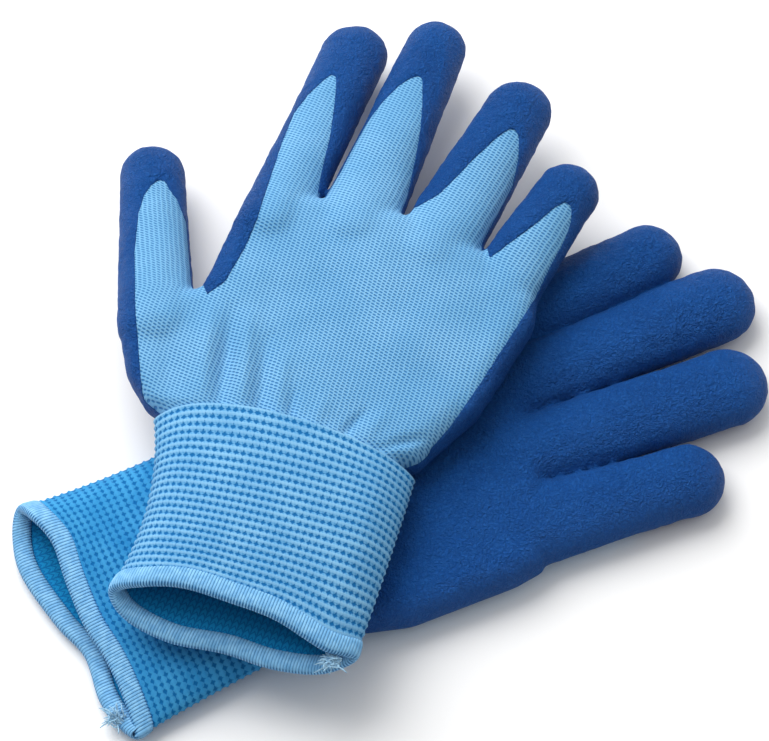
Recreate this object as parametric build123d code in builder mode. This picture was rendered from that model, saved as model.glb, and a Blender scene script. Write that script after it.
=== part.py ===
"""A pair of seamless knitted gardening gloves with a latex coating, lying crossed on a surface.

The left glove lies palm up. The right glove lies across it, palm down. Both have the thumb on the -X side of
their own frame, so the right glove is the same design mirrored through a horizontal plane.
The origin is the middle of the flat back of the left glove's hand, on the surface. +Z is up, and +Y runs
towards the right glove's fingertips. All sizes are in millimetres.
"""

import os
from collections import namedtuple
from math import atan2, degrees, hypot

from build123d import *

# ---------------------------------------------------------------- driving dimensions
hand_thick = 14.0  # the hand, laid flat, over the knit
knit_wall = 1.2  # knitted liner
coat = 0.9  # latex coating
coat_wrap = 5.5  # height above the back at which the coating starts on the sides
edge_round = 6.2  # rounding of the hand's and the digits' long edges
fold_gap = 0.4  # between the hand and each digit, along the fold
crotch_gap = 1.9  # from a crotch to the knit of the digit beside it
thumb_gap = 2.8  # the same beside the thumb, where the palm's coating stands too
coat_heel = 4.0  # the palm's coating ends this far from the wrist

cuff_long = 62.0
cuff_wall = 1.8
cuff_round = 5.5  # corners of the cuff's section
elastic_size = 0.6  # square section of the elastic yarns laid in the cuff
elastic_count = 6
elastic_end = 8.0  # from each end of the cuff to the nearest elastic yarn

hem_wide = 5.5  # the overlock binding round the mouth, along the cuff
hem_proud = 1.0  # how far it stands out of the cuff, inside and out
hem_lip = 1.2  # how far it reaches past the cuff's end

tail_long = 6.0  # end of the overlock thread
tail_radius = 1.1

pile_gap = 2.0  # between the two gloves, one above the other
right_wrist = (-32.7, 1.4)  # middle of the right glove's wrist
right_turn = -14.6  # turn of the right glove from +Y, anticlockwise
left_wrist_back = 45.0  # from the origin back to the left glove's wrist
left_turn = -62.5

# A digit: the ends of its fold line (thumb side first), the centre and radius of its tip, the length of the
# coated cap on its back, and how far it droops towards the palm, in degrees.
Digit = namedtuple("Digit", "name near far tip radius cap droop")
# A glove's outline is its wrist, its thumb side, the digits' fold lines and its little-finger side.
Glove = namedtuple("Glove", "side wrist_half heel thumb fingers outer mouth_half mouth_high mouth_rise")

left = Glove(
    side="left",
    wrist_half=37.0,
    heel=(-49.0, 12.0),
    thumb=Digit("thumb", (-62.0, 33.0), (-38.0, 41.0), (-61.5, 87.0), 9.8, 15.0, 0.0),
    fingers=[
        Digit("index", (-42.5, 83.0), (-21.0, 87.0), (-30.0, 147.5), 9.0, 20.0, 0.0),
        Digit("middle", (-21.0, 87.0), (2.0, 86.0), (-7.5, 158.5), 9.2, 20.0, 0.0),
        Digit("ring", (2.0, 86.0), (26.0, 80.0), (19.0, 147.5), 9.2, 20.0, 0.0),
        Digit("little", (26.0, 80.0), (51.0, 66.0), (44.2, 120.0), 9.0, 15.0, 0.0),
    ],
    outer=(46.5, 25.0),
    mouth_half=40.0,
    mouth_high=12.0,
    mouth_rise=hem_proud,
)
right = Glove(
    side="right",
    wrist_half=38.0,
    heel=(-51.0, 9.0),
    thumb=Digit("thumb", (-62.0, 32.5), (-37.0, 41.5), (-66.5, 84.5), 9.7, 15.0, 12.0),
    fingers=[
        Digit("index", (-35.0, 77.5), (-14.0, 81.0), (-17.4, 145.5), 9.4, 19.0, 10.0),
        Digit("middle", (-14.0, 81.0), (13.5, 82.0), (6.8, 149.5), 9.1, 18.0, 6.0),
        Digit("ring", (13.5, 82.0), (41.0, 75.0), (38.6, 132.0), 9.4, 18.0, 4.0),
        Digit("little", (41.0, 75.0), (62.5, 62.0), (60.3, 103.5), 8.9, 14.0, 0.0),
    ],
    outer=(52.0, 22.0),
    mouth_half=37.0,
    mouth_high=18.0,
    mouth_rise=hand_thick + coat - hem_proud - 18.0,
)

pair_top = hand_thick + coat  # top of the left glove, on which the right one rests


def glove_frame(glove):
    """Where a glove lies: its own frame has +Y along the hand and +Z towards the palm."""
    if glove.side == "left":
        lies = Plane.XY.rotated((0, 0, left_turn))
        return Plane(lies.from_local_coords((0, -left_wrist_back, 0)), lies.x_dir, lies.z_dir)
    lies = Plane.XY.rotated((0, 0, right_turn))
    return Plane((*right_wrist, pair_top + pile_gap + pair_top), lies.x_dir, lies.z_dir)


def laid(solid, glove):
    """A finished piece, moved from its glove's own frame to where the glove lies."""
    if glove.side == "right":
        solid = mirror(solid, about=Plane.XY)
    return glove_frame(glove).location * solid


def keep(solid, label, glove):
    """Labels a piece by its glove, lays it in place and writes it."""
    piece = laid(solid, glove)
    piece.label = f"{glove.side}_{label}"
    export_step(piece, f"parts/{piece.label}.step")
    return piece


# ---------------------------------------------------------------- one digit
def fold_plane(digit):
    """The upright plane of a digit's fold: +X along the fold line, +Y up the digit."""
    run = (digit.far[0] - digit.near[0], digit.far[1] - digit.near[1])
    middle = ((digit.near[0] + digit.far[0]) / 2, (digit.near[1] + digit.far[1]) / 2, 0)
    return Plane(middle, (run[0], run[1], 0), (0, 0, 1))


def digit_plane(digit):
    """The plane that a digit is drawn on, drooping about its fold line."""
    return fold_plane(digit).rotated((digit.droop, 0, 0))


def digit_form(digit, grow=0.0):
    """The closed outer form of a digit, grown by an even amount, and reaching a little into the hand."""
    plane = digit_plane(digit)
    flat = fold_plane(digit)
    tip = flat.to_local_coords(Vector(*digit.tip, 0))
    near_gap = crotch_gap
    far_gap = thumb_gap if digit.name == "thumb" else crotch_gap
    span = flat.to_local_coords(Vector(*digit.far, 0)).X
    reach = 3.0
    with BuildPart() as form:
        with BuildSketch(plane.offset(coat - grow)):
            with BuildLine():
                Line((near_gap - span - grow, -reach), (span - far_gap + grow, -reach))
                Line((near_gap - span - grow, 0), (span - far_gap + grow, 0))
                CenterArc((tip.X, tip.Y), digit.radius + grow, 0, 360)
            make_hull()
        extrude(amount=hand_thick - coat + 2 * grow)
        along = Axis(plane.origin, plane.y_dir)
        rim = form.faces().sort_by(Axis(plane.origin, plane.z_dir))
        rims = rim[0].edges() + rim[-1].edges()
        open_end = rims.group_by(along)[0]
        fillet([e for e in rims if e not in open_end], edge_round + grow)
    return form.part


def past_fold(digit):
    """The space on the digit's side of its fold."""
    size = 400.0
    with BuildPart(fold_plane(digit)) as space:
        with Locations((0, size / 2 + fold_gap, 0)):
            Box(size, size, size)
    return space.part


def build_digit(digit, glove):
    """The knitted stall and the latex coating of one digit."""
    outer = digit_form(digit)
    cavity = digit_form(digit, -knit_wall)
    beyond = past_fold(digit)
    with BuildPart() as stall:
        add(outer)
        add(beyond, mode=Mode.INTERSECT)
        add(cavity, mode=Mode.SUBTRACT)
    keep(stall.part, f"knit_{digit.name}", glove)

    # The back of the digit stays bare inside a half ellipse that ends short of the tip.
    flat = fold_plane(digit)
    tip = flat.to_local_coords(Vector(*digit.tip, 0))
    long = hypot(tip.X, tip.Y) + digit.radius - digit.cap
    wide = hypot(digit.far[0] - digit.near[0], digit.far[1] - digit.near[1]) / 2 - crotch_gap
    lean = -degrees(atan2(tip.X, tip.Y))
    with BuildPart() as coating:
        add(digit_form(digit, coat))
        add(beyond, mode=Mode.INTERSECT)
        add(outer, mode=Mode.SUBTRACT)
        with BuildSketch(digit_plane(digit).rotated((0, 0, lean)).offset(-coat)):
            Ellipse(wide, long)
        extrude(amount=coat + coat_wrap, mode=Mode.SUBTRACT)
    keep(coating.part, f"latex_{digit.name}", glove)
    return cavity


# ---------------------------------------------------------------- the hand
def hand_outline(glove, grow=0.0):
    """Corners of the hand's outline, anticlockwise from the wrist. Only its sides grow, not its fold lines."""
    half = glove.wrist_half + grow
    thumb, fingers = glove.thumb, glove.fingers

    def slid(point, other, by):
        """A point moved away from another one, along their line."""
        away = Vector(*point) - Vector(*other)
        moved = Vector(*point) + away.normalized() * by
        return (moved.X, moved.Y)

    return [
        (half, 0.0),
        (glove.outer[0] + grow, glove.outer[1]),
        slid(fingers[-1].far, fingers[-1].near, grow),
        *[finger.near for finger in reversed(fingers[1:])],
        slid(fingers[0].near, fingers[0].far, grow),
        slid(thumb.far, thumb.near, -grow),
        slid(thumb.near, thumb.far, grow),
        (glove.heel[0] - grow, glove.heel[1]),
        (-half, 0.0),
    ]


def side_edges(part, glove, grow):
    """The long edges of the hand's slab, top and bottom, apart from its fold lines and wrist."""
    corners = hand_outline(glove, grow)
    sides = [(0, 1), (1, 2), (6, 7), (8, 9), (9, 10)]
    middles = [(Vector(*corners[a]) + Vector(*corners[b])) / 2 for a, b in sides]

    def on_side(edge):
        centre = edge @ 0.5
        return any(hypot(centre.X - m.X, centre.Y - m.Y) < 0.5 for m in middles)

    return part.edges().filter_by(on_side).filter_by(Plane.XY)


def hand_form(glove, grow=0.0):
    """The hand as a slab with rounded sides, open at nothing, grown by an even amount."""
    with BuildPart() as form:
        with BuildSketch(Plane.XY.offset(-grow)):
            with BuildLine():
                Polyline(*hand_outline(glove, grow), close=True)
            make_face()
        extrude(amount=hand_thick + 2 * grow)
        fillet(side_edges(form, glove, grow), edge_round + grow)
    return form.part


def build_hand(glove, cavities):
    """The knitted hand and the latex coating of its palm."""
    outer = hand_form(glove)
    with BuildPart() as liner:
        add(outer)
        add(hand_form(glove, -knit_wall), mode=Mode.SUBTRACT)
        for cavity in cavities:
            add(cavity, mode=Mode.SUBTRACT)
    keep(liner.part, "knit_hand", glove)

    with BuildPart() as palm:
        add(hand_form(glove, coat))
        add(outer, mode=Mode.SUBTRACT)
        with BuildSketch(Plane.XY.offset(coat_wrap)):
            with Locations((0, coat_heel)):
                Rectangle(300, 200, align=(Align.CENTER, Align.MIN))
        extrude(amount=hand_thick, mode=Mode.INTERSECT)
    keep(palm.part, "latex_palm", glove)


# ---------------------------------------------------------------- the cuff
def cuff_form(glove, grow=0.0, lip=0.0):
    """The cuff's closed form from the wrist to the mouth, grown by an even amount, with a lip past its end."""
    wrist = Plane((0, 0, hand_thick / 2), (1, 0, 0), (0, -1, 0))
    mouth = Plane((0, -cuff_long, glove.mouth_rise + glove.mouth_high / 2), (1, 0, 0), (0, -1, 0))
    with BuildPart() as form:
        with BuildSketch(wrist):
            RectangleRounded(2 * (glove.wrist_half + grow), hand_thick + 2 * grow, cuff_round + grow)
        with BuildSketch(mouth):
            RectangleRounded(2 * (glove.mouth_half + grow), glove.mouth_high + 2 * grow, cuff_round + grow)
        loft()
        if lip > 0:
            extrude(form.faces().sort_by(Axis.Y)[0], amount=lip)
    return form.part


def across(start, end):
    """The space between two distances past the wrist, towards the mouth."""
    with BuildPart() as space:
        with Locations((0, -(start + end) / 2, 0)):
            Box(400, end - start, 400)
    return space.part


def build_cuff(glove):
    """The ribbed cuff and the elastic yarns laid into its inner face."""
    outer = cuff_form(glove)
    inner = cuff_form(glove, -cuff_wall)
    step = (cuff_long - 2 * elastic_end - hem_wide) / (elastic_count - 1)
    with BuildPart() as elastic:
        for place in range(elastic_count):
            start = elastic_end + place * step
            add(across(start, start + elastic_size))
        add(cuff_form(glove, elastic_size - cuff_wall), mode=Mode.INTERSECT)
        add(inner, mode=Mode.SUBTRACT)
    keep(elastic.part, "cuff_elastic", glove)

    with BuildPart() as cuff:
        add(outer)
        add(inner, mode=Mode.SUBTRACT)
        add(elastic.part, mode=Mode.SUBTRACT)
    keep(cuff.part, "rib_cuff", glove)


def build_hem(glove):
    """The overlocked binding, folded round the cuff's end, and the tail of its thread."""
    with BuildPart() as wall:
        add(cuff_form(glove))
        add(cuff_form(glove, -cuff_wall), mode=Mode.SUBTRACT)
    with BuildPart() as hem:
        add(cuff_form(glove, hem_proud, lip=hem_lip))
        add(cuff_form(glove, -cuff_wall - hem_proud, lip=hem_lip), mode=Mode.SUBTRACT)
        add(wall.part, mode=Mode.SUBTRACT)
        add(across(cuff_long - hem_wide, cuff_long + hem_lip), mode=Mode.INTERSECT)
    keep(hem.part, "overlock_hem", glove)

    seam = (glove.mouth_half - cuff_wall / 2, -cuff_long - hem_lip, glove.mouth_rise + glove.mouth_high / 2)
    with BuildPart() as tail:
        with BuildSketch(Plane(seam, (1, 0, 0), (0, -1, 0))):
            Circle(tail_radius)
        extrude(amount=tail_long)
    keep(tail.part, "thread_tail", glove)


if __name__ == "__main__":
    os.makedirs("parts", exist_ok=True)
    for glove in (left, right):
        cavities = [build_digit(digit, glove) for digit in (glove.thumb, *glove.fingers)]
        build_hand(glove, cavities)
        build_cuff(glove)
        build_hem(glove)
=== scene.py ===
from math import cos, pi, radians, sin

import bmesh
import bpy
import numpy as np
from mathutils import Matrix, Vector, noise


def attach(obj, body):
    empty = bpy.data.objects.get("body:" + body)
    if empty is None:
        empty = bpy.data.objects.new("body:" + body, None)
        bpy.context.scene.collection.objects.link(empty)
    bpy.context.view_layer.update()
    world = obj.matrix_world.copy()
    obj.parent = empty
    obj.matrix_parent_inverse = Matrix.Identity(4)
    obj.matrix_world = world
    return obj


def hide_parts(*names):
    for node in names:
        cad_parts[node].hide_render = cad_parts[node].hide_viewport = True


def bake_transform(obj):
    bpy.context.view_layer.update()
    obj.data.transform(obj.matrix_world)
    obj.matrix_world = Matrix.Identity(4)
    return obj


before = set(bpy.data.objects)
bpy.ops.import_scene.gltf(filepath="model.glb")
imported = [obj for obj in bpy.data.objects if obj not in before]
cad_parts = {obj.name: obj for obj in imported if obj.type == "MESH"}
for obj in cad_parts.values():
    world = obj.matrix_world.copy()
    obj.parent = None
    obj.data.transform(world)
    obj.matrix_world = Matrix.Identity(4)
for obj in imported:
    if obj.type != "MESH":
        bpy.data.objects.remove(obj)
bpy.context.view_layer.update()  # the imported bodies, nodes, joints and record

# ------------------------------------------------------------------ how the pair lies
# The left glove lies palm up, and the right one across it, palm down. Each is worked out in a frame of its
# own, in millimetres: +Y along the hand from the wrist, the thumb towards -X, the back at Z = 0.
palm_down = Matrix.Diagonal((1, 1, -1, 1))
lie = {
    "left": Matrix.Rotation(radians(-62.5), 4, "Z") @ Matrix.Translation((0, -45, 0)),
    "right": Matrix.Translation((-32.7, 1.4, 31.8)) @ Matrix.Rotation(radians(-14.6), 4, "Z") @ palm_down,
}
sides = ("left", "right")
metres = 0.001  # in a millimetre


def laid(side, points):
    """Points of a glove's own frame, moved to where the glove lies, in metres."""
    place = np.array(Matrix.Scale(metres, 4) @ lie[side])
    return np.asarray(points) @ place[:3, :3].T + place[:3, 3]


def make_mesh(name, points, faces):
    mesh = bpy.data.meshes.new(name)
    mesh.from_pydata(points, [], faces)
    mesh.update()
    return mesh


def normals_of(points, faces):
    """The direction that a skin faces at each of its points."""
    mesh = make_mesh("skin", points, faces)
    flat = np.empty(len(points) * 3)
    mesh.vertex_normals.foreach_get("vector", flat)
    bpy.data.meshes.remove(mesh)
    return flat.reshape(-1, 3)


def add_piece(name, side, points, faces, chart=None, facing=None):
    """A finished piece laid in place, with its thread count and its shading direction at each point."""
    if side == "right":
        faces = [face[::-1] for face in faces]
    placed = laid(side, points)
    mesh = make_mesh(name, placed, faces)
    mesh.polygons.foreach_set("use_smooth", [True] * len(mesh.polygons))
    corners = np.empty(len(mesh.loops), dtype=np.int64)
    mesh.loops.foreach_get("vertex_index", corners)
    if chart is not None:
        threads = mesh.uv_layers.new(name="threads")
        threads.data.foreach_set("uv", np.asarray(chart)[corners].ravel())
    if facing is not None:
        mesh.normals_split_custom_set_from_vertices(facing)
    piece = bpy.data.objects.new(name, mesh)
    bpy.context.collection.objects.link(piece)
    return piece


# ------------------------------------------------------------------ the knitted shell
# The liner is knitted in one go on a seamless machine, five tubes running into one. Each digit is a ball
# drawn out from its tip to its root, the hand is a rounded slab, and all are melted together and smoothed.
knit_thick = 14.0
digit_half_thick = 7.5
skin_over = 0.1  # the shell stands this far outside its own sizes before it is smoothed
wrist_half = {"left": 37.0, "right": 38.0}
heel = {"left": (-49.0, 12.0), "right": (-51.0, 9.0)}
outer_edge = {"left": (46.5, 25.0), "right": (52.0, 22.0)}
digit_names = ("thumb", "index", "middle", "ring", "little")
# each digit's root (thumb side, other side), the middle and radius of its tip, and its droop towards the palm
digits = {
    "left": {
        "thumb": ((-62.0, 33.0), (-38.0, 41.0), (-61.5, 87.0), 9.8, 0.0),
        "index": ((-42.5, 83.0), (-21.0, 87.0), (-30.6, 147.0), 10.3, 0.0),
        "middle": ((-21.0, 87.0), (2.0, 86.0), (-6.3, 156.9), 11.9, 0.0),
        "ring": ((2.0, 86.0), (26.0, 80.0), (20.3, 145.6), 12.0, 0.0),
        "little": ((26.0, 80.0), (51.0, 66.0), (42.3, 119.1), 10.9, 0.0),
    },
    "right": {
        "thumb": ((-62.0, 32.5), (-37.0, 41.5), (-67.6, 87.6), 9.3, 12.0),
        "index": ((-35.0, 77.5), (-14.0, 81.0), (-18.3, 146.4), 10.0, 10.0),
        "middle": ((-14.0, 81.0), (13.5, 82.0), (6.9, 151.2), 8.9, 6.0),
        "ring": ((13.5, 82.0), (41.0, 75.0), (38.2, 132.0), 9.8, 4.0),
        "little": ((41.0, 75.0), (62.5, 62.0), (60.0, 103.5), 9.1, 0.0),
    },
}


def pick(piece):
    """Makes one object the only one selected."""
    bpy.ops.object.select_all(action="DESELECT")
    piece.select_set(True)
    bpy.context.view_layer.objects.active = piece


def shaped_by(piece, kind, **settings):
    """Adds a modifier and applies it."""
    pick(piece)
    modifier = piece.modifiers.new(kind.title(), kind)
    for name, value in settings.items():
        setattr(modifier, name, value)
    bpy.ops.object.modifier_apply(modifier=modifier.name)


def root_frame(side, name, droop=True):
    """A digit's frame: +X across its root, +Y up the digit, in the glove's frame, drooping about the root."""
    near, far, _, _, bend = digits[side][name]
    across = (Vector(far) - Vector(near)).to_3d().normalized()
    up = Vector((-across.y, across.x, 0))
    middle = ((Vector(near) + Vector(far)) / 2).to_3d()
    axes = Matrix((across, up, Vector((0, 0, 1)))).transposed().to_4x4()
    level = Matrix.Translation(middle) @ axes
    return level @ Matrix.Rotation(radians(bend), 4, "X") if droop else level


# how far each digit's root stands in from the ends of its fold, so that neighbours don't melt together
crotch = {
    "thumb": (0.6, 3.6), "index": (-0.8, 1.5), "middle": (1.4, 1.4), "ring": (1.4, 1.4), "little": (1.4, 0.3),
}
root_sunk = 9.0  # how far each digit runs into the hand
slab_up = 0.2  # the slab's height over the floor


def add_digit(side, name):
    """A digit as a flattened ball, whose lower half is drawn down into the hand and spread to the root."""
    near, far, tip, radius, _ = digits[side][name]
    middle = root_frame(side, name, droop=False).inverted() @ Vector((*tip, 0))
    root_half = (Vector(far) - Vector(near)).length / 2
    near_gap, far_gap = crotch[name]
    centre = Vector((middle.x, middle.y, knit_thick / 2 + slab_up))
    bpy.ops.mesh.primitive_uv_sphere_add(
        segments=48, ring_count=24, radius=radius + skin_over, location=centre
    )
    ball = bpy.context.object
    bpy.ops.object.mode_set(mode="EDIT")
    bpy.ops.transform.resize(value=(1, 1, digit_half_thick / radius), center_override=centre)
    bpy.ops.mesh.select_all(action="DESELECT")
    shape = bmesh.from_edit_mesh(ball.data)
    for v in shape.verts:
        v.select = v.co.y < -0.01
    shape.select_flush_mode()
    bmesh.update_edit_mesh(ball.data)
    half = root_half - (near_gap + far_gap) / 2 + skin_over
    root = Vector(((near_gap - far_gap) / 2, -root_sunk, centre.z))
    bpy.ops.transform.resize(value=(half / radius, 1, 1), center_override=centre)
    bpy.ops.transform.translate(value=root - centre)
    bpy.ops.object.mode_set(mode="OBJECT")
    ball.data.transform(root_frame(side, name) @ ball.matrix_world)
    ball.matrix_world = Matrix.Identity(4)
    return ball


def add_hand(side):
    """The hand as a slab over its outline, with rounded rims, running a little way into the cuff."""
    half = wrist_half[side]
    thumb, index, middle, ring, little = (digits[side][name] for name in digit_names)
    thumb_x, thumb_y = thumb[0]
    index_x, index_y = index[0]
    little_x, little_y = little[1]
    outline = [
        (half, -14), (half, -2), outer_edge[side],
        (little_x - 1.9, little_y - 8), (little_x - 2.6, little_y + 1),
        little[0], ring[0], middle[0],
        (index_x + 2.4, index_y + 1), (index_x + 1.2, index_y - 9), thumb[1],
        (thumb_x + 2.6, thumb_y + 1), (thumb_x + 2.6, thumb_y - 5), heel[side],
        (-half - 1, -4), (-half, -14),
    ]
    sheet = make_mesh("hand", [(x, y, slab_up) for x, y in outline], [range(len(outline))])
    slab = bpy.data.objects.new("hand", sheet)
    bpy.context.collection.objects.link(slab)
    pick(slab)
    bpy.ops.object.mode_set(mode="EDIT")
    bpy.ops.mesh.select_all(action="SELECT")
    bpy.ops.mesh.extrude_region_move(TRANSFORM_OT_translate={"value": (0, 0, knit_thick)})
    bpy.ops.mesh.select_all(action="SELECT")
    bpy.ops.mesh.normals_make_consistent(inside=False)
    bpy.ops.object.mode_set(mode="OBJECT")
    shaped_by(slab, "BEVEL", width=6.4, segments=5, limit_method="ANGLE", angle_limit=radians(60))
    return slab


voxel = 0.9
smoothings = 22
wrist_cut = -9  # the shell ends here, inside the cuff


def knit_shell(side):
    """The whole glove without its cuff, as one closed skin."""
    parts = [add_hand(side)] + [add_digit(side, n) for n in digit_names]
    bpy.ops.object.select_all(action="DESELECT")
    for part in parts:
        part.select_set(True)
    bpy.context.view_layer.objects.active = parts[0]
    bpy.ops.object.join()
    shell = bpy.context.object
    shell.data.remesh_voxel_size = voxel
    bpy.ops.object.voxel_remesh()
    shaped_by(shell, "SMOOTH", factor=0.5, iterations=smoothings)
    shape = bmesh.new()
    shape.from_mesh(shell.data)
    bpy.data.objects.remove(shell)
    everything = [*shape.verts, *shape.edges, *shape.faces]
    bmesh.ops.bisect_plane(
        shape, geom=everything, plane_co=(0, wrist_cut, 0), plane_no=(0, 1, 0), clear_inner=True
    )
    return shape


def points_of(shape):
    """A shape's points, as rows, numbered afresh."""
    shape.verts.index_update()
    return np.array([v.co for v in shape.verts])


def ramp(value, low, high):
    """0 below low, 1 above high, and an even curve between."""
    t = np.clip((value - low) / (high - low), 0, 1)
    return t * t * (3 - 2 * t)


def off_line(points, start, end):
    """How far points are from a line's run in the plane, and how far along it, from 0 to 1."""
    start, run = np.array(start, float), np.subtract(end, start).astype(float)
    along = np.clip(((points[:, :2] - start) @ run) / (run @ run), 0, 1)
    return np.linalg.norm(points[:, :2] - start - along[:, None] * run, axis=1), along


# the folds of the loose liner where the cuff gathers it: run, half width and height
folds = {
    "right": [
        ((-43, 22), (-34, 0), 4.2, -1.7), ((-32, 32), (-26, 0), 2.6, 1.5), ((-26, 34), (-20, -2), 2.3, -2.1),
        ((-20, 32), (-14, 0), 2.4, 1.5), ((-13, 26), (-8, -2), 2.2, -1.7), ((-6, 22), (-3.5, 0), 1.9, 0.8),
        ((-0.6, 11), (1.2, -2), 1.2, -1.3), ((9, 12), (8, -1), 2.0, 0.5), ((21, 10), (16, -1), 1.3, -1.3),
        ((27, 12), (23, 0), 2.2, 0.7), ((40, 7), (29, 0), 1.5, -1.4),
    ],
    "left": [
        ((-20, 18), (-17, 0), 2.0, -1.2), ((-4, 16), (-3, 0), 2.0, -1.0), ((14, 18), (12, 0), 2.0, -1.2),
    ],
}
# the creases of the palm and of the drooping digits: run, half width and height, on the palm's side
creases = {
    "right": [],
    "left": [
        ((-26, 96), (-24, 128), 3.0, 0.5), ((-36, 62), (18, 70), 3.0, -0.7), ((-30, 40), (30, 30), 5.0, -0.8),
        ((-40, 50), (-20, 12), 4.0, -0.9),
    ],
}
middle_height = 7.2
wave_high, wave_wide = 0.7, 15  # the waves of the slack cloth
tuck = (0.085, 0.22)  # how much of its width and thickness the hand loses inside the cuff
fullness = {"left": (0.0, 1.2), "right": (2.6, 0.4)}  # of the back and the palm, where the hand has swollen


def dent(points, start, end, width, high):
    """A fold or crease: a rounded furrow along a line, which fades towards the line's ends."""
    off, along = off_line(points, start, end)
    return high * np.exp(-((off / width) ** 2)) * np.sin(np.clip(along * 0.8 + 0.1, 0, 1) * pi)


def relaxed(side, points):
    """The shell's points, with the hand's fullness, the gathers by the cuff and the creases of the palm."""
    x, y, z = points.T
    back, palm = 1 - ramp(z, 5, 9), ramp(z, 5, 9)
    inner = np.clip(1 - (x / 47) ** 2, 0, 1) * (1 - ramp(y, 62, 92))
    moved = points.copy()
    tucked = ramp(-y, -1.5, 3.5)
    moved[:, 0] *= 1 - tuck[0] * tucked
    moved[:, 2] = middle_height + (z - middle_height) * (1 - tuck[1] * tucked)
    moved[:, 2] += palm * inner * fullness[side][1] - back * inner * fullness[side][0]
    seen = -back if side == "right" else palm
    for fold in folds[side]:
        moved[:, 2] += seen * dent(points, *fold)
    for crease in creases[side]:
        moved[:, 2] += palm * dent(points, *crease)
    waves = np.array([noise.noise(Vector(p) / wave_wide) for p in points])
    outward = np.where(z > knit_thick / 2, palm, -back)
    moved[:, 2] += waves * wave_high * outward * (1 if side == "right" else palm)
    return moved


# ------------------------------------------------------------------ the coating's edge and the digits' folds
# The glove is dipped on a form, palm down. The back stays bare inside arches that run up the digits, and the
# coating laps round the sides. Hand and digits are cut apart a little past each root, above the crotches.
fold_at = 3.0
lap = {"left": 5.0, "right": 6.2}  # the height of the coating's edge along the sides
coat_start = {"left": 2.5, "right": -4.0}  # where the coating begins past the wrist
# the right glove's bare arches, seen slantwise: each millimetre of height shifts a point by slant
slant = np.array([(0.145, -0.559)])
bare_back = [
    (-38.7, -14), (-42, -5), (-46.4, 6.7), (-53.8, 27.2), (-60.3, 46.8), (-63.2, 60), (-63.6, 66.5),
    (-62.6, 70.9), (-60.7, 73.4), (-58.9, 73.4), (-57.0, 71.0), (-53.6, 68), (-47.8, 59.4), (-43, 49.8),
    (-38.5, 42.5), (-34.6, 37.2), (-30.4, 42.7), (-28, 54.9), (-27, 66), (-27.6, 84.4), (-27.8, 96.2),
    (-27.2, 107.3), (-24.7, 115.4), (-21.6, 121.6), (-19.6, 124.2), (-18.2, 123.4), (-17.0, 119),
    (-15.7, 111.7), (-14.1, 100.9), (-13.2, 87.3), (-12.4, 80.5), (-9.2, 82), (-7.5, 90), (-6, 100.3),
    (-4.3, 110), (-1.8, 117.8), (1.4, 125), (4.2, 128.8), (6.6, 130.4), (8.0, 129.4), (9.9, 121.7),
    (12, 111.3), (13.2, 99.5), (14.2, 86), (15.6, 81.5), (18.6, 83.6), (23.6, 89.7), (26.6, 96.1),
    (30.6, 104.8), (35.5, 113.9), (38.3, 117.6), (40.2, 118), (42.0, 115.6), (43.6, 108.2), (44.3, 98.6),
    (43.7, 86.5), (42.2, 74.5), (43.4, 71.0), (45.4, 73.6), (49.3, 79.3), (54.5, 87), (58.3, 93.5),
    (61, 96.2), (63, 95.2), (64.3, 90.3), (63.8, 83), (62, 73.2), (60.2, 61.6), (56.8, 49), (51.6, 30),
    (46.2, 12), (42.5, 3), (41, -14),
]


def inside_by(points, corners):
    """How far points lie inside a closed outline in the plane, and below 0 outside it."""
    ring = np.array(corners, float)
    nearest = np.full(len(points), 1e9)
    crossings = np.zeros(len(points), dtype=int)
    x, y = points[:, 0], points[:, 1]
    for a, b in zip(ring, np.roll(ring, -1, axis=0)):
        nearest = np.minimum(nearest, off_line(points, a, b)[0])
        level = (a[1] > y) != (b[1] > y)
        with np.errstate(divide="ignore", invalid="ignore"):
            crossings += level & (x < (b[0] - a[0]) * (y - a[1]) / (b[1] - a[1]) + a[0])
    return np.where(crossings % 2 == 1, nearest, -nearest)


def seen_from(place, points):
    """Points in a digit's frame."""
    inverse = np.array(place.inverted())
    return points @ inverse[:3, :3].T + inverse[:3, 3]


def beside_axis(side, name, points):
    """How far points are from a digit's middle line, and how far along it, from 0 to 1 at the tip."""
    near, far, tip, _, _ = digits[side][name]
    return off_line(points, (np.array(near) + np.array(far)) / 2, tip)


thumb_reach = 12.2


def digit_at(side, points):
    """The number of each point's digit, or -1 for the hand, and how far past that digit's fold it lies."""
    owner = np.full(len(points), -1)
    nearest = np.full(len(points), 1e9)
    past = np.full(len(points), -5.0)
    for number, name in enumerate(digit_names):
        near, far, _, radius, _ = digits[side][name]
        off, along = beside_axis(side, name, points)
        root_half = np.hypot(*np.subtract(far, near)) / 2
        reach = thumb_reach if name == "thumb" else root_half + 2.5
        outside = off - (root_half + (radius - root_half) * along)
        mine = (outside < nearest) & (off < reach)
        nearest[mine] = outside[mine]
        past[mine] = seen_from(root_frame(side, name, droop=False), points)[mine, 1] - fold_at
        owner[mine] = number
    owner[past < 0] = -1
    return owner, past


def arches(side, points):
    """The bareness of the right glove's back, inside the arches' outline and above the coating's edge."""
    ripple = np.array([noise.noise(Vector((p[0] * 0.9, p[1] * 0.9, 4.0))) for p in points]) * 0.22
    height = points[:, 2].copy()
    for name in digit_names:
        local = seen_from(root_frame(side, name), points)
        off, _ = beside_axis(side, name, points)
        mine = (local[:, 1] > 0) & (off < 14)
        height[mine] = np.minimum(height, local[:, 2])[mine]
    leaning = points[:, :2] + points[:, 2:] * slant
    return np.minimum(inside_by(leaning, bare_back) + ripple, (lap[side] - height) * 0.9)


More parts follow.
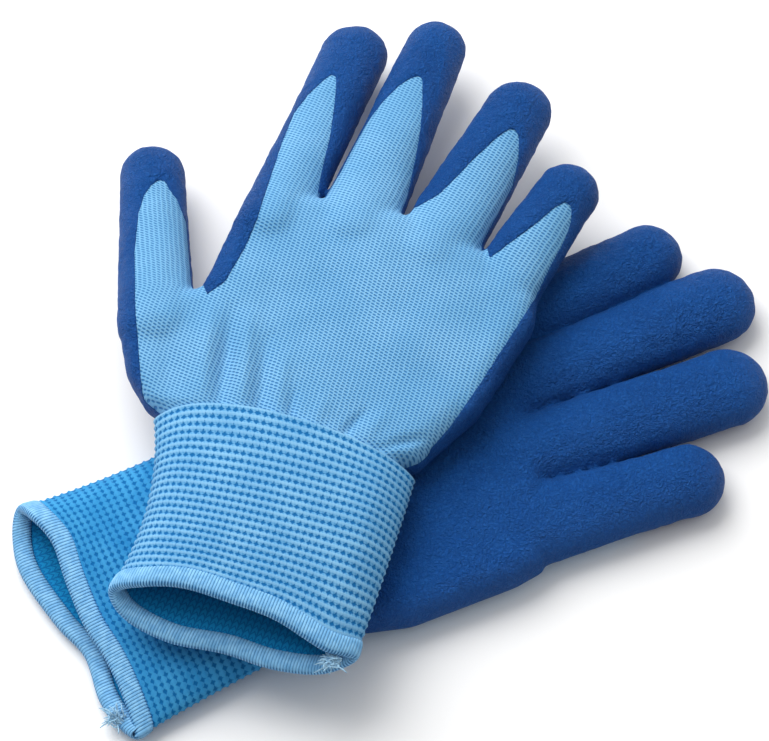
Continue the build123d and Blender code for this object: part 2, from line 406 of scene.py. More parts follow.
def ovals(side, points):
    """The bareness of the left glove's back, which ends in half an oval on each digit."""
    within = np.full(len(points), 9.0)
    for name in digit_names:
        near, far, tip, _, _ = digits[side][name]
        local = seen_from(root_frame(side, name, droop=False), points)
        off, _ = beside_axis(side, name, points)
        long = np.hypot(*np.subtract(tip, (np.array(near) + np.array(far)) / 2)) - 9
        oval = 1 - np.hypot(off / 11.5, local[:, 1] / long)
        mine = (local[:, 1] > 0) & (off < 13)
        within[mine] = oval[mine] * 9
    return np.minimum(within, lap[side] - points[:, 2])


def bareness(side, points):
    """Above 0 where the back stays bare, and below 0 under the coating."""
    bare = arches(side, points) if side == "right" else ovals(side, points)
    return np.maximum(bare, coat_start[side] - points[:, 1])


def cut_at_zero(shape, value):
    """Cuts a skin along the line on which a value passes zero."""
    values = value(points_of(shape))
    values[np.abs(values) < 1e-4] = 1e-4
    crossing = [e for e in shape.edges if values[e.verts[0].index] * values[e.verts[1].index] < 0]
    fresh = []
    for edge in crossing:
        a, b = (values[v.index] for v in edge.verts)
        share = min(max(a / (a - b), 0.03), 0.97)
        fresh.append(bmesh.utils.edge_split(edge, edge.verts[0], share)[1])
    bmesh.ops.connect_verts(shape, verts=fresh)


def chart_of(side, points):
    """Where each point lies on the knitting, across and along the wales, in millimetres."""
    chart = points[:, :2].copy()
    owner, past = digit_at(side, points)
    for number, name in enumerate(digit_names):
        near, far, tip = (np.array(p, float) for p in digits[side][name][:3])
        root, rise = (far - near) / np.hypot(*(far - near)), tip - (near + far) / 2
        rise /= np.hypot(*rise)
        shares = (points[:, :2] - near) @ np.linalg.inv(np.array((root, rise)))
        across, along = shares[:, :1], shares[:, 1]
        mine = (along > 0) & ((owner == number) | (np.abs(past + fold_at / 2) < fold_at / 2 + 0.01))
        mine &= (across[:, 0] > -4) & (across[:, 0] < np.hypot(*(far - near)) + 4)
        chart[mine] = (near + across * root + np.outer(along, (0, 1)))[mine]
    return chart


class Glove:
    """One glove's shell: its points, faces, each face's digit and whether it is bare."""

    def __init__(self, side):
        shape = knit_shell(side)
        cut_at_zero(shape, lambda points: digit_at(side, points)[1])
        cut_at_zero(shape, lambda points: bareness(side, points))
        flat = points_of(shape)
        self.side = side
        self.faces = [[v.index for v in f.verts] for f in shape.faces]
        shape.free()
        owner, past = digit_at(side, flat)
        self.bareness = bareness(side, flat)
        self.digit = []
        for face in self.faces:
            mine = [owner[i] for i in face if owner[i] >= 0]
            self.digit.append(max(mine) if past[face].sum() > 0 and mine else -1)
        self.digit = np.array(self.digit)
        self.bare = np.array([self.bareness[face].sum() > 0 for face in self.faces])
        self.chart = chart_of(side, flat)
        self.points = relaxed(side, flat)
        self.out = normals_of(self.points, self.faces)


gloves = {side: Glove(side) for side in sides}


def wall(outer, inner, faces):
    """A skin given its thickness: its outer and inner faces, and the rim that joins them."""
    count = len(outer)
    edges = {}
    for number, face in enumerate(faces):
        for a, b in zip(face, face[1:] + face[:1]):
            edges[(a, b)] = number
    rim, owners = [], []
    for (a, b), number in edges.items():
        if (b, a) not in edges:
            rim.append([b, a, a + count, b + count])
            owners.append(number)
    turned = [[i + count for i in reversed(face)] for face in faces]
    return np.concatenate((outer, inner)), faces + turned + rim, list(range(len(faces))) * 2 + owners


def used_only(points, faces, *rows):
    """The points that faces use, the faces on them, and the same rows of what else is given."""
    keep = np.unique(np.concatenate([np.asarray(face) for face in faces]))
    fresh = np.full(len(points), -1)
    fresh[keep] = np.arange(len(keep))
    return points[keep], [[int(fresh[i]) for i in face] for face in faces], *(row[keep] for row in rows)


floor_gap = {"knit": (0.5, 0.9), "latex": (0.05, 0.3)}  # of the outer and the inner face of a layer


def add_layer(glove, layer, faces, skin, inner, paint):
    """One layer of a glove, cut into the hand's piece and the digits' pieces, shaded as one."""
    if glove.side == "left":  # the glove that lies on the floor is flattened by it
        low, high = floor_gap[layer]
        skin = np.column_stack((skin[:, :2], np.maximum(skin[:, 2], low)))
        inner = np.column_stack((inner[:, :2], np.maximum(inner[:, 2], high)))
    points, all_faces, owners = wall(skin, inner, faces["faces"])
    turned = [face[::-1] for face in all_faces] if glove.side == "right" else all_faces
    facing = normals_of(laid(glove.side, points), turned)
    chart = np.concatenate((glove.chart, glove.chart))
    for number in range(-1, 5):
        mine = [face for face, owner in zip(all_faces, owners) if faces["digit"][owner] == number]
        body = f"{glove.side}_hand" if number < 0 else f"{glove.side}_{digit_names[number]}"
        part = {"knit": "hand", "latex": "palm"}[layer] if number < 0 else digit_names[number]
        name = f"{glove.side}_{layer}_{part}"
        some, some_faces, some_chart, some_facing = used_only(points, mine, chart, facing)
        piece = add_piece(f"{name}_skin", glove.side, some, some_faces, some_chart, some_facing)
        piece.data.materials.append(paint)
        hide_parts(name)
        if number < 0:
            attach(piece, body)
        else:
            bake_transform(piece)


# ------------------------------------------------------------------ the knitted liner
# Fine polyester yarn in plain knit, pale blue, its stitches about a millimetre apart. The holes between them
# stand in a brick pattern, and the dark of the inside seen through them is painted in as shade.
def sums(tree, operation, *values):
    """A math node fed with numbers or other nodes' outputs."""
    node = tree.nodes.new("ShaderNodeMath")
    node.operation = operation
    for socket, value in zip(node.inputs, values):
        if isinstance(value, (int, float)):
            socket.default_value = value
        else:
            tree.links.new(value, socket)
    return node.outputs[0]


def ramp_node(tree, value, low, high, to_low=0.0, to_high=1.0):
    """The shader's version of ramp, between two chosen values."""
    node = tree.nodes.new("ShaderNodeMapRange")
    node.interpolation_type = "SMOOTHSTEP"
    for name, number in (("From Min", low), ("From Max", high), ("To Min", to_low), ("To Max", to_high)):
        node.inputs[name].default_value = number
    tree.links.new(value, node.inputs["Value"])
    return node.outputs["Result"]


def mixed(tree, share, first, second):
    """A colour between two, each a colour or another node's output."""
    node = tree.nodes.new("ShaderNodeMix")
    node.data_type = "RGBA"
    tree.links.new(share, node.inputs["Factor"])
    for socket, colour in ((node.inputs[6], first), (node.inputs[7], second)):
        if isinstance(colour, tuple):
            socket.default_value = (*colour, 1)
        else:
            tree.links.new(colour, socket)
    return node.outputs[2]


def grain(tree, scale, detail=2.0, twist=0.0):
    """An even noise, of about 1 / scale metres, on the piece's own coordinates."""
    node = tree.nodes.new("ShaderNodeTexNoise")
    node.inputs["Scale"].default_value = scale
    node.inputs["Detail"].default_value = detail
    node.inputs["Distortion"].default_value = twist
    tree.links.new(tree.nodes.new("ShaderNodeTexCoord").outputs["Object"], node.inputs["Vector"])
    return node.outputs["Fac"]


def new_paint(name, roughness, sheen=0.0, specular=0.3):
    """A material, its node tree and its shader. sheen is the soft bloom of a fuzzy yarn."""
    paint = bpy.data.materials.new(name)
    paint.use_nodes = True
    shader = paint.node_tree.nodes["Principled BSDF"]
    shader.inputs["Roughness"].default_value = roughness
    shader.inputs["Specular IOR Level"].default_value = specular
    if sheen:
        shader.inputs["Sheen Weight"].default_value = sheen
        shader.inputs["Sheen Roughness"].default_value = 0.4
        shader.inputs["Sheen Tint"].default_value = (0.6, 0.8, 1.0, 1)
    return paint, paint.node_tree, shader


def raised(tree, shader, height, distance, strength=1.0):
    """A relief under the shader, from a height between 0 and 1 and its depth in metres."""
    node = tree.nodes.new("ShaderNodeBump")
    node.inputs["Strength"].default_value = strength
    node.inputs["Distance"].default_value = distance
    tree.links.new(height, node.inputs["Height"])
    tree.links.new(node.outputs["Normal"], shader.inputs["Normal"])


def across_and_along(tree):
    """The thread count in the two directions of the knitting."""
    node = tree.nodes.new("ShaderNodeSeparateXYZ")
    chart = tree.nodes.new("ShaderNodeUVMap")
    chart.uv_map = "threads"
    tree.links.new(chart.outputs["UV"], node.inputs["Vector"])
    return node.outputs["X"], node.outputs["Y"]


wale_pitch, course_pitch = 1.35, 1.0
liner_wall = 0.9
# the colour of each stitch's hole is painted shade: the dark inside of the glove seen through the knit
hole_painted_shade = (0.010, 0.15, 0.42)


def knit_paint():
    """Yarn with an oval hole to each stitch, half a stitch higher in every other wale."""
    paint, tree, shader = new_paint("pale_blue_knit", 0.8, sheen=0.15, specular=0.2)
    across, along = across_and_along(tree)
    wobble = sums(tree, "MULTIPLY", sums(tree, "SUBTRACT", grain(tree, 260), 0.5), 0.55)
    wale = sums(tree, "ADD", sums(tree, "DIVIDE", across, wale_pitch), wobble)
    course = sums(tree, "DIVIDE", along, course_pitch)
    number = sums(tree, "FLOOR", wale)
    beside = sums(tree, "SUBTRACT", sums(tree, "FRACT", wale), 0.5)
    shift = sums(tree, "MULTIPLY", number, 0.5)
    tilt = sums(tree, "MULTIPLY", beside, 0.35)
    row = sums(tree, "FRACT", sums(tree, "ADD", sums(tree, "ADD", course, shift), tilt))
    above = sums(tree, "SUBTRACT", row, 0.5)
    wide = sums(tree, "POWER", sums(tree, "DIVIDE", beside, 0.42), 2.0)
    high = sums(tree, "POWER", sums(tree, "DIVIDE", above, 0.27), 2.0)
    hole = ramp_node(tree, sums(tree, "ADD", wide, high), 0.35, 1.35, 1.0, 0.0)
    tone = ramp_node(tree, grain(tree, 45, 3.0), 0.3, 0.7)
    thread = mixed(tree, tone, (0.155, 0.405, 0.67), (0.20, 0.465, 0.735))
    # painted shade: each stitch's hole is darkened to the hole's colour
    colour = mixed(tree, sums(tree, "MULTIPLY", hole, 0.85), thread, hole_painted_shade)
    tree.links.new(colour, shader.inputs["Base Color"])
    raised(tree, shader, sums(tree, "SUBTRACT", 1.0, hole), 0.0004, 0.8)
    return paint


pale_blue_knit = knit_paint()
for glove in gloves.values():
    add_layer(
        glove, "knit", {"faces": glove.faces, "digit": glove.digit},
        glove.points, glove.points - glove.out * liner_wall, pale_blue_knit,
    )

# ------------------------------------------------------------------ the latex coating
# Natural latex, dark blue, dipped over the palm and the digits and crinkled while it is soft, so that it
# grips. It is nearly as thick as the liner, and it thins out to a crisp edge.
coat_thick, edge_thick = 0.75, 0.2
wrinkle_high, wrinkle_wide = 0.22, 3.4


def latex_paint():
    """Dark rubber, finely and broadly crinkled, with a painted highlight making the crests a little paler."""
    paint, tree, shader = new_paint("crinkled_blue_latex", 0.55, specular=0.17)
    fine = grain(tree, 2900, 2.0, twist=0.5)
    wrinkle = grain(tree, 1350, 3.0, twist=1.1)
    broad = grain(tree, 520, 2.0, twist=1.0)
    relief = sums(tree, "ADD", sums(tree, "MULTIPLY", fine, 0.4), wrinkle)
    relief = sums(tree, "ADD", relief, sums(tree, "MULTIPLY", broad, 0.8))
    tone = ramp_node(tree, grain(tree, 60, 3.0), 0.3, 0.7)
    colour = mixed(tree, tone, (0.006, 0.085, 0.36), (0.009, 0.104, 0.42))
    # painted highlight: the crests of the wrinkles are made paler
    crest_painted_highlight = ramp_node(tree, wrinkle, 0.46, 0.62)
    colour = mixed(tree, sums(tree, "MULTIPLY", crest_painted_highlight, 0.5), colour, (0.022, 0.155, 0.52))
    tree.links.new(colour, shader.inputs["Base Color"])
    raised(tree, shader, relief, 0.0021, 1.0)
    return paint


crinkled_latex = latex_paint()
for glove in gloves.values():
    coated = [i for i, bare in enumerate(glove.bare) if not bare]
    crinkle = np.array([noise.fractal(Vector(p) / wrinkle_wide, 1.0, 2.0, 2) for p in glove.points])
    swell = coat_thick - edge_thick + np.clip(crinkle, -1.2, 1.2) * wrinkle_high
    proud = edge_thick + swell * ramp(-glove.bareness, -0.3, 2.4)
    add_layer(
        glove, "latex", {"faces": [glove.faces[i] for i in coated], "digit": glove.digit[coated]},
        glove.points + glove.out * proud[:, None], glove.points + glove.out * 0.03, crinkled_latex,
    )

# ------------------------------------------------------------------ the ribbed cuffs
# Each cuff is knitted on to the wrist in a stretchy waffle rib: ridges run round it, with a row of small
# hollows between them, and the inside shows columns of plain stitches. It opens in a soft, rolling mouth.
wales, courses = 78, 24
cuff_wall = 1.6
ridge_high = 0.6
# loops from the thumbless end over the upper side to the thumb's end, and back underneath
wrist_loop = {
    "right": (
        [
            (39.4, -4.6, 7), (31, -2.2, 0.2), (16, 0.6, -2.5), (0, 1.8, -3.4), (-15, 1.6, -3.0),
            (-30, -0.8, -0.6), (-38.9, -4.2, 7),
        ],
        [(-31, -3.5, 13.4), (-16, -2, 14.9), (0, -1.5, 15.1), (16, -2, 14.9), (31, -3.5, 13.4)],
    ),
    "left": (
        [
            (37.4, 0.6, 7), (31, 0.6, 13.4), (16, 0.6, 15.3), (0, 0.6, 15.8), (-16, 0.6, 15.3),
            (-31, 0.6, 13.4), (-37.4, 0.6, 7),
        ],
        [(-31, 0.6, 1.0), (-16, 0.6, 0.3), (0, 0.6, 0.2), (16, 0.6, 0.3), (31, 0.6, 1.0)],
    ),
}
waist_loop = {
    "right": (
        [
            (38.6, -38, 6.5), (31, -38, -0.6), (16, -38, -3.6), (0, -38, -4.8), (-15, -38, -4.4),
            (-27, -38, -1.2), (-32.4, -38, 6),
        ],
        [(-27, -38, 12.4), (-16, -38, 14), (0, -38, 14.4), (16, -38, 14), (31, -38, 12.6)],
    ),
    "left": (
        [
            (39, -38, 6), (32, -38, 11), (16, -38, 13.2), (0, -38, 14), (-16, -38, 14.6), (-31, -38, 13.4),
            (-38, -38, 7),
        ],
        [(-32, -38, 1.0), (-16, -38, 0.4), (0, -38, 0.3), (16, -38, 0.4), (32, -38, 1.0)],
    ),
}
mouth_loop = {
    "right": (
        [
            (37.5, -64, 6), (29, -65.5, 0.5), (14, -61.5, -3.2), (0, -60, -4.4), (-14, -59, -4.6),
            (-26, -60.5, -2.4), (-34.9, -61.5, 4.2),
        ],
        [(-30, -66, 10.2), (-16, -69.3, 12), (0, -68.3, 13), (15, -70, 12), (29, -68.5, 10.8)],
    ),
    "left": (
        [
            (40.5, -60.5, 4.5), (30, -58.7, 7.5), (17, -58.1, 9), (4, -59.2, 10.5), (-10, -58.2, 13),
            (-22, -56.6, 15), (-32, -58.5, 15), (-39.5, -60.5, 9),
        ],
        [
            (-34, -64.8, 3.6), (-22, -67.5, 2.7), (-3, -65.3, 2.6), (10, -62.2, 2.6), (24, -64.3, 2.6),
            (33, -63.6, 2.9),
        ],
    ),
}


def smooth_loop(loop, count):
    """Points spaced evenly along each half of a smooth closed loop through its corners."""
    over, under = loop
    corners = np.array(over + under, float)
    fine = 16
    t = np.arange(fine)[:, None] / fine
    dense = []
    for i in range(len(corners)):
        a, b, c, d = (corners[(i + k) % len(corners)] for k in (-1, 0, 1, 2))
        squared, cubed = 2 * a - 5 * b + 4 * c - d, 3 * b - a - 3 * c + d
        dense.append(0.5 * (2 * b + (c - a) * t + squared * t**2 + cubed * t**3))
    dense = np.concatenate(dense + [corners[:1]])
    split = (len(over) - 1) * fine
    halves = []
    for run in (dense[: split + 1], dense[split:]):
        reach = np.concatenate(([0], np.cumsum(np.linalg.norm(np.diff(run, axis=0), axis=1))))
        marks = np.linspace(0, reach[-1], count // 2 + 1)[:-1]
        halves.append(np.stack([np.interp(marks, reach, run[:, k]) for k in range(3)], axis=1))
    return np.concatenate(halves)


def cuff_grid(side, around, down, last=1.0):
    """Rows of points from the wrist to the mouth, each row a closed loop."""
    wrist, waist, mouth = (smooth_loop(loop[side], around) for loop in (wrist_loop, waist_loop, mouth_loop))
    t = np.linspace(0, last, down + 1)[:, None, None]
    middle = 0.6  # the waist's share of the way
    of_wrist = (t - middle) * (t - 1) / middle
    of_waist = t * (t - 1) / (middle * (middle - 1))
    of_mouth = t * (t - middle) / (1 - middle)
    return wrist * of_wrist + waist * of_waist + mouth * of_mouth


def grid_out(rows):
    """The outward direction at each point of a closed grid."""
    around = np.roll(rows, -1, axis=1) - np.roll(rows, 1, axis=1)
    down = np.gradient(rows, axis=0)
    out = np.cross(around, down)
    out /= np.linalg.norm(out, axis=2, keepdims=True)
    centre = rows.mean(axis=1, keepdims=True)
    return out if (out * (rows - centre)).sum() > 0 else -out


def grid_faces(rows, around, first=0, flip=False):
    """The faces between closed rows of points."""
    faces = []
    for j in range(rows - 1):
        for i in range(around):
            k = (i + 1) % around
            above, below = first + j * around, first + (j + 1) * around
            face = [above + i, above + k, below + k, below + i]
            faces.append(face[::-1] if flip else face)
    return faces


def faces_out(points, faces):
    """Whether a closed skin's faces point outwards on the whole, by its volume."""
    total = 0.0
    for f in faces:
        for k in range(1, len(f) - 1):
            total += np.dot(points[f[0]], np.cross(points[f[k]], points[f[k + 1]]))
    return total > 0


inside_from = -100  # the inside's rows are numbered below this
# the ridges' yarn colours for each cuff; the left cuff's are a darker copy of the same yarn, painted shade
cuff_yarn_with_left_painted_shade = {
    "left": ((0.02, 0.235, 0.53), (0.05, 0.32, 0.62)), "right": ((0.17, 0.405, 0.65), (0.22, 0.475, 0.71)),
}


def cuff_paint(side):
    """The ridges' pale yarn, the painted shade of the star-shaped hollows between them, and the stitches'
    legs on the inside.
    """
    paint, tree, shader = new_paint(f"{side}_waffle_rib", 0.8, sheen=0.08, specular=0.12)
    across, along = across_and_along(tree)
    beside = sums(tree, "ABSOLUTE", sums(tree, "SUBTRACT", sums(tree, "FRACT", across), 0.5))
    above = sums(tree, "ABSOLUTE", sums(tree, "SUBTRACT", sums(tree, "FRACT", along), 0.5))
    fuzz = sums(tree, "MULTIPLY", sums(tree, "SUBTRACT", grain(tree, 1700), 0.5), 1.1)
    wide = sums(tree, "POWER", sums(tree, "DIVIDE", beside, 0.52), 0.8)
    high = sums(tree, "POWER", sums(tree, "DIVIDE", above, 0.38), 0.8)
    hollow = ramp_node(tree, sums(tree, "ADD", sums(tree, "ADD", wide, high), fuzz), 0.72, 1.22, 1.0, 0.0)
    tone = ramp_node(tree, grain(tree, 90, 3.0), 0.3, 0.7)
    thread = mixed(tree, tone, *cuff_yarn_with_left_painted_shade[side])
    # band marks the valleys between the ridges, where the yarn is painted darker as shade; the ply's twist
    # stripes are stronger there too
    band = ramp_node(tree, above, 0.24, 0.40, 1.0, 0.0)
    ply = sums(tree, "FRACT", sums(tree, "ADD", sums(tree, "MULTIPLY", across, 2.0), along))
    twist = ramp_node(tree, sums(tree, "ABSOLUTE", sums(tree, "SUBTRACT", ply, 0.5)), 0.15, 0.45)
    twist = sums(tree, "MULTIPLY", twist, sums(tree, "ADD", sums(tree, "MULTIPLY", band, 0.35), 0.12))
    thread = mixed(tree, twist, thread, (0.04, 0.26, 0.55))
    thread = mixed(tree, sums(tree, "MULTIPLY", band, 0.42), thread, (0.035, 0.25, 0.53))
    # painted shade: the star-shaped hollows are darkened to a deep blue
    outside = mixed(tree, sums(tree, "MULTIPLY", hollow, 0.95), thread, (0.0, 0.115, 0.33))
    stitch = sums(tree, "FRACT", sums(tree, "ADD", along, sums(tree, "MULTIPLY", beside, 1.5)))
    between = ramp_node(tree, beside, 0.30, 0.5)
    leg = ramp_node(tree, sums(tree, "ABSOLUTE", sums(tree, "SUBTRACT", stitch, 0.5)), 0.25, 0.48)
    gap = sums(tree, "MAXIMUM", between, leg)
    # painted shade: the inside's yarn is darker than the outside's, and darker still between the stitches'
    # legs
    within = mixed(tree, sums(tree, "MULTIPLY", gap, 0.85), (0.006, 0.24, 0.53), (0.0, 0.11, 0.32))
    inner = sums(tree, "LESS_THAN", along, float(inside_from) / 2)
    tree.links.new(mixed(tree, inner, outside, within), shader.inputs["Base Color"])
    raised(tree, shader, grain(tree, 2400, 1.0), 0.00025, 0.5)
    return paint


seam_share = 0.96  # of the way to the mouth, a little under the hem's edge
fine = 4  # points to a stitch
for side in sides:
    around, down = wales * fine, courses * fine
    rows = cuff_grid(side, around, down, seam_share)
    out = grid_out(rows)
    u = np.arange(around) / fine
    v = np.arange(down + 1) / fine
    rib = (np.cos(2 * pi * v)[:, None] * 0.5 + 0.5) ** 1.3
    yarn = np.cos(2 * pi * u)[None, :] * 0.5 + 0.5
    height = np.maximum(rib, 0.4 * yarn)
    outer = rows + out * (height * ridge_high)[..., None]
    inner = rows - out * cuff_wall
    if side == "left":  # it lies on the floor
        outer[..., 2] = np.maximum(outer[..., 2], 0.05)
        inner[..., 2] = np.maximum(inner[..., 2], 1.0)
    points = np.concatenate((outer.reshape(-1, 3), inner.reshape(-1, 3)))
    count = around * (down + 1)
    faces = grid_faces(down + 1, around) + grid_faces(down + 1, around, count, flip=True)
    for j in (0, down):
        for i in range(around):
            k = (i + 1) % around
            a, b = j * around + i, j * around + k
            faces.append([a, a + count, b + count, b] if j == 0 else [b, b + count, a + count, a])
    if not faces_out(points, faces):
        faces = [f[::-1] for f in faces]
    uu, vv = np.meshgrid(u, v)
    chart = np.stack((uu.ravel(), vv.ravel()), axis=1)
    inside_chart = chart * (1, -1.6) + (0, inside_from)
    cuff = add_piece(f"{side}_rib_cuff_skin", side, points, faces, np.concatenate((chart, inside_chart)))
    cuff.data.materials.append(cuff_paint(side))
    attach(cuff, f"{side}_hand")
    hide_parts(f"{side}_rib_cuff")

# ------------------------------------------------------------------ the overlocked hems
# Each mouth is bound by an overlock machine: thread laid side by side over the edge, inside and out, and
# caught by a row of small stitches along each side.
def hem_paint():
    """Pale thread with painted shade in the groove between neighbours, and the dots of the stitches along
    both edges.
    """
    paint, tree, shader = new_paint("overlock_thread", 0.6, sheen=0.15, specular=0.3)
    across, along = across_and_along(tree)
    beside = sums(tree, "ABSOLUTE", sums(tree, "SUBTRACT", sums(tree, "FRACT", across), 0.5))
    groove = ramp_node(tree, beside, 0.30, 0.48)
    near_edge = sums(tree, "ABSOLUTE", sums(tree, "SUBTRACT", sums(tree, "FRACT", along), 0.5))
    row = ramp_node(tree, near_edge, 0.40, 0.46)
    dots = sums(tree, "MULTIPLY", row, ramp_node(tree, beside, 0.15, 0.30))
    tone = ramp_node(tree, grain(tree, 500, 2.0), 0.3, 0.7)
    thread = mixed(tree, tone, (0.15, 0.41, 0.71), (0.24, 0.54, 0.83))
    # painted shade darkens the groove between neighbouring threads
    shade = mixed(tree, sums(tree, "MULTIPLY", groove, 0.5), thread, (0.02, 0.18, 0.46))
    colour = mixed(tree, sums(tree, "MULTIPLY", dots, 0.9), shade, (0.008, 0.14, 0.38))
    tree.links.new(colour, shader.inputs["Base Color"])
    raised(tree, shader, sums(tree, "SUBTRACT", 1.0, groove), 0.0003, 0.7)
    return paint


overlock_thread = hem_paint()
threads_round = 176
thread_bulge = 0.16
# the band's section: along the cuff from its edge, out of the cuff, and how far round the band, from 0 to 2
hem_section = [
    (-5.4, -0.1, 0.0), (-5.1, 0.7, 0.06), (-4.2, 1.0, 0.2), (-2.8, 1.1, 0.5), (-1.2, 1.15, 0.8),
    (0.1, 0.75, 0.94), (0.75, 0.0, 1.0), (0.7, -1.0, 1.06), (0.0, -1.9, 1.15), (-1.4, -2.4, 1.4),
    (-3.2, -2.5, 1.7), (-4.6, -2.2, 1.94), (-4.9, -1.5, 2.0), (-3.0, -0.7, 2.0),
]
step = 3  # points to a thread
for side in sides:
    around = threads_round * step
    rows = cuff_grid(side, around, 40)
    edge = rows[-1]
    down = rows[-1] - rows[-4]
    down /= np.linalg.norm(down, axis=1, keepdims=True)
    out = grid_out(rows)[-1]
    u = np.arange(around) / step
    bulge = np.where(np.arange(around) % step == 0, 0.0, thread_bulge)
    rows = []
    for far, proud, share in hem_section:
        lift = proud + (np.sign(proud + 0.7) * bulge if 0.05 < share < 1.95 else 0 * bulge)
        rows.append(edge + down * far + out * lift[:, None])
    rows = np.array(rows)
    count = len(rows)
    points = rows.reshape(-1, 3)
    faces = grid_faces(count, around)
    last = (count - 1) * around
    faces += [[last + i, last + (i + 1) % around, (i + 1) % around, i] for i in range(around)]
    if not faces_out(points, faces):
        faces = [f[::-1] for f in faces]
    shares = np.array([share for _, _, share in hem_section])
    uu, vv = np.meshgrid(u, shares)
    hem = add_piece(f"{side}_hem", side, points, faces, np.stack((uu.ravel(), vv.ravel()), axis=1))
    hem.data.materials.append(overlock_thread)
    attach(hem, f"{side}_hand")
    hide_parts(f"{side}_overlock_hem")


# ------------------------------------------------------------------ the elastic yarns
# Rubber yarns, covered with thread, are laid into the cuff as it is knitted and draw it in round the wrist.
def plain_paint(name, colour, roughness):
    """A yarn's colour, a little uneven along it."""
    paint, tree, shader = new_paint(name, roughness)
    tone = ramp_node(tree, grain(tree, 1200, 2.0), 0.3, 0.7)
    darker = tuple(c * 0.72 for c in colour)
    tree.links.new(mixed(tree, tone, darker, colour), shader.inputs["Base Color"])
    raised(tree, shader, grain(tree, 3000, 1.0), 0.0002, 0.6)
    return paint


def tube(path, radius, closed, around=6):
    """A yarn along a path: its points and its faces."""
    path = np.asarray(path, float)
    run = np.roll(path, -1, axis=0) - np.roll(path, 1, axis=0) if closed else np.gradient(path, axis=0)
    run /= np.linalg.norm(run, axis=1, keepdims=True)
    side = np.cross(run, (0.13, 0.27, 0.95))
    side /= np.linalg.norm(side, axis=1, keepdims=True)
    other = np.cross(run, side)
    turn = np.arange(around) * 2 * pi / around
    sizes = np.broadcast_to(np.asarray(radius, float), (len(path),))
    spread = np.cos(turn)[None, :, None] * side[:, None] + np.sin(turn)[None, :, None] * other[:, None]
    rings = path[:, None] + sizes[:, None, None] * spread
    points = rings.reshape(-1, 3)
    faces = grid_faces(len(path), around)
    if closed:
        last = (len(path) - 1) * around
        faces += [[last + i, last + (i + 1) % around, (i + 1) % around, i] for i in range(around)]
    else:
        faces += [list(range(around))[::-1], [(len(path) - 1) * around + i for i in range(around)]]
    if not faces_out(points, faces):
        faces = [f[::-1] for f in faces]
    return points, faces


def joined(parts):
    """Several shapes as one."""
    points, faces, start = [], [], 0
    for some, some_faces in parts:
        points.append(some)
        faces += [[i + start for i in f] for f in some_faces]
        start += len(some)
    return np.concatenate(points), faces


elastic_paint = plain_paint("covered_elastic", (0.10, 0.34, 0.62), 0.7)
elastic_count = 6
for side in sides:
    rows = cuff_grid(side, 156, 60)
    inward = rows - grid_out(rows) * (cuff_wall + 0.15)
    parts = [tube(inward[j], 0.32, True) for j in np.linspace(8, 45, elastic_count).astype(int)]
    points, faces = joined(parts)
    yarns = add_piece(f"{side}_elastic_yarns", side, points, faces)
    yarns.data.materials.append(elastic_paint)
    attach(yarns, f"{side}_hand")
    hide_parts(f"{side}_cuff_elastic")

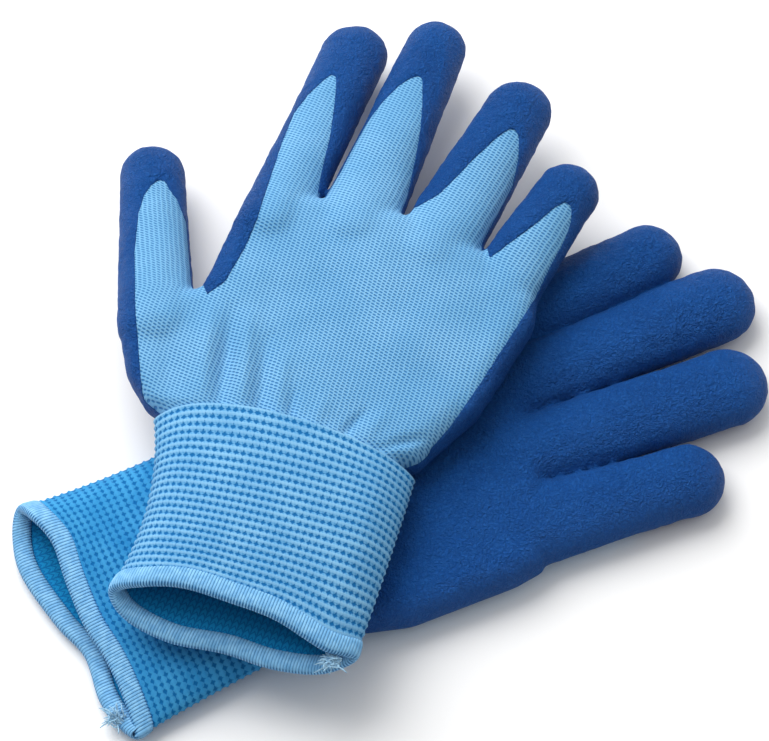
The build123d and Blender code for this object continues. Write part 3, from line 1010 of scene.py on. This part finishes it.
# ------------------------------------------------------------------ the tails of the overlock thread
# Where the binding ends, its chain of thread is cut off short and frays into a small pale tuft in the mouth's
# narrow corner.
tuft_paint = plain_paint("frayed_thread", (0.42, 0.70, 0.92), 0.8)
tuft_at = {  # its root and the way it leans
    "left": ((34.0, -62.5, 4.5), (-0.75, -0.35, 0.25)),
    "right": ((33.0, -66.8, 5.0), (-0.92, -0.1, -0.15)),
}
strand_count = 90
for side in sides:
    luck = np.random.default_rng(7)
    root, lean = (np.array(v, float) for v in tuft_at[side])
    lean /= np.linalg.norm(lean)
    strands = []
    for _ in range(strand_count):
        way = lean + luck.normal(0, 0.45, 3)
        way /= np.linalg.norm(way)
        curl, kink = luck.normal(0, 1.0, (2, 3))
        long = luck.uniform(1.6, 4.2)
        t = np.linspace(0, 1, 9)[:, None]
        wave = kink * np.sin(t * 2 * pi) * 0.4
        path = root + luck.normal(0, 0.6, 3) + way * long * t + curl * t**2 * 1.2 + wave
        thin = np.interp(t[:, 0], [0, 0.8, 1], [0.26, 0.24, 0.1])
        strands.append(tube(path, thin, False, 5))
    points, faces = joined(strands)
    tuft = add_piece(f"{side}_frayed_tail", side, points, faces)
    tuft.data.materials.append(tuft_paint)
    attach(tuft, f"{side}_hand")
    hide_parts(f"{side}_thread_tail")

# ------------------------------------------------------------------ floor, light and camera
# A white floor, a large soft light from the upper left behind the pair, and a sky that is bright overhead and
# behind. The camera looks down at 60 degrees from the front.
floor_height = -0.0002
bpy.ops.mesh.primitive_plane_add(size=6, location=(0, 0, floor_height))
floor = bpy.context.object
floor.name = "floor"
pale = bpy.data.materials.new("pale_floor")
pale.use_nodes = True
pale_shader = pale.node_tree.nodes["Principled BSDF"]
pale_shader.inputs["Base Color"].default_value = (0.93, 0.93, 0.93, 1)
pale_shader.inputs["Roughness"].default_value = 0.9
floor.data.materials.append(pale)

target = Vector((-0.0041, 0.0318, 0.012))
camera_far, camera_up, view_wide = 1.1, radians(60), 0.2307
camera_way = Vector((0, -cos(camera_up), sin(camera_up)))
bpy.ops.object.camera_add(location=target + camera_far * camera_way)
camera = bpy.context.object
camera.rotation_euler = (pi / 2 - camera_up, 0, 0)
camera.data.sensor_width = 36
camera.data.lens = camera.data.sensor_width * camera_far / view_wide
bpy.context.scene.camera = camera

key_from, key_power, key_wide = (-0.45, 0.55, 0.9), 15, 1.1
bpy.ops.object.light_add(type="AREA", location=key_from)
key = bpy.context.object
key.data.energy = key_power
key.data.size = key_wide
key.rotation_euler = (-key.location).to_track_quat("-Z", "Y").to_euler()

sky_strength, sky_behind = 0.8, 0.4
world = bpy.data.worlds.new("studio")
world.use_nodes = True
sky = world.node_tree
way_up = sky.nodes.new("ShaderNodeSeparateXYZ")
sky.links.new(sky.nodes.new("ShaderNodeTexCoord").outputs["Generated"], way_up.inputs["Vector"])
from_behind = sums(sky, "MULTIPLY", way_up.outputs["Y"], sky_behind)
overhead = ramp_node(sky, sums(sky, "ADD", way_up.outputs["Z"], from_behind), 0.0, 0.9, 0.1, 1.0)
sky.links.new(overhead, sky.nodes["Background"].inputs["Color"])
sky.nodes["Background"].inputs["Strength"].default_value = sky_strength
bpy.context.scene.world = world
bpy.context.scene.view_settings.view_transform = "Standard"
